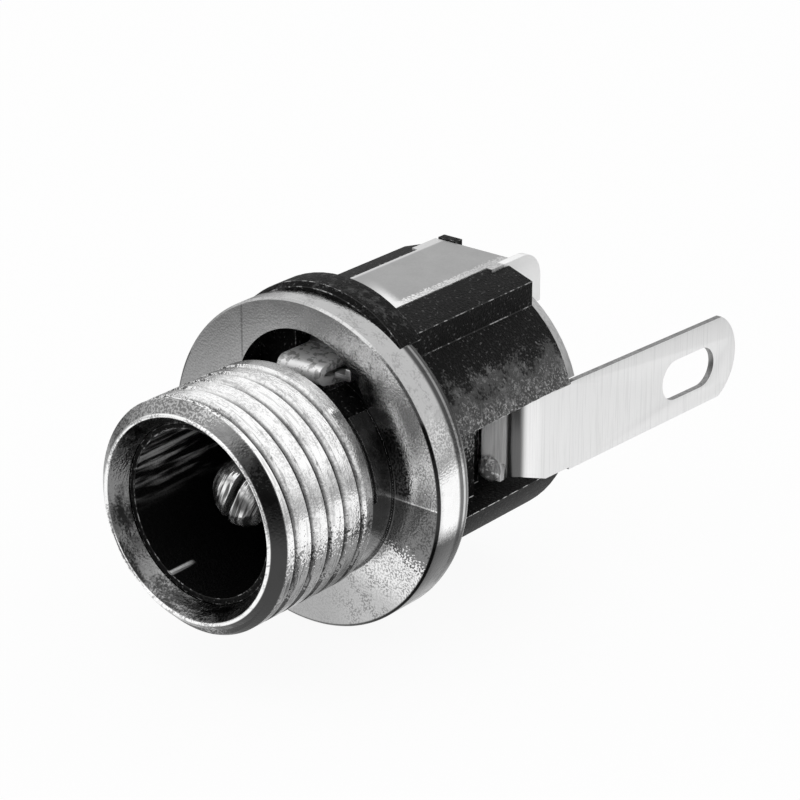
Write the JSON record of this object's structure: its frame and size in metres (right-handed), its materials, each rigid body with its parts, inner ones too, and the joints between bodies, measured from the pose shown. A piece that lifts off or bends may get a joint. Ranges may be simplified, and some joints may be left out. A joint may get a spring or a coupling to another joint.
{
  "type": "dc barrel jack",
  "caption": "Panel-mount DC barrel jack with a threaded metal shell, moulded housing, split centre pin, switched spring contact and a long slotted solder lug.",
  "frame": {"origin": "on the jack's axis, in the front face of the flange, which seats on the panel", "axes": "-Y along the axis towards the mouth where the plug goes in, +Y to the solder ends, +Z to the side of the contact spring, +X to the long side lug"},
  "size_m": [0.0114, 0.024, 0.0117],
  "materials": {
    "nickel_shell": "bright nickel plate on turned brass",
    "black_moulding": "black moulding with a grainy matt skin",
    "nickel_pin": "bright nickel plate on turned brass",
    "tinned_sheet": "satin tin plate on stamped sheet",
    "plated_spring": "nickel plate on stamped spring sheet",
    "rivet_metal": "dull plated rivet"
  },
  "bodies": {
    "root": {"shell": "nickel_shell", "housing": "black_moulding", "centre_pin": "nickel_pin", "pin_terminal": "tinned_sheet", "sleeve_contact": "plated_spring", "shunt_contact": "plated_spring", "side_lug": "tinned_sheet", "lug_rivet": "rivet_metal"}
  },
  "joints": []
}
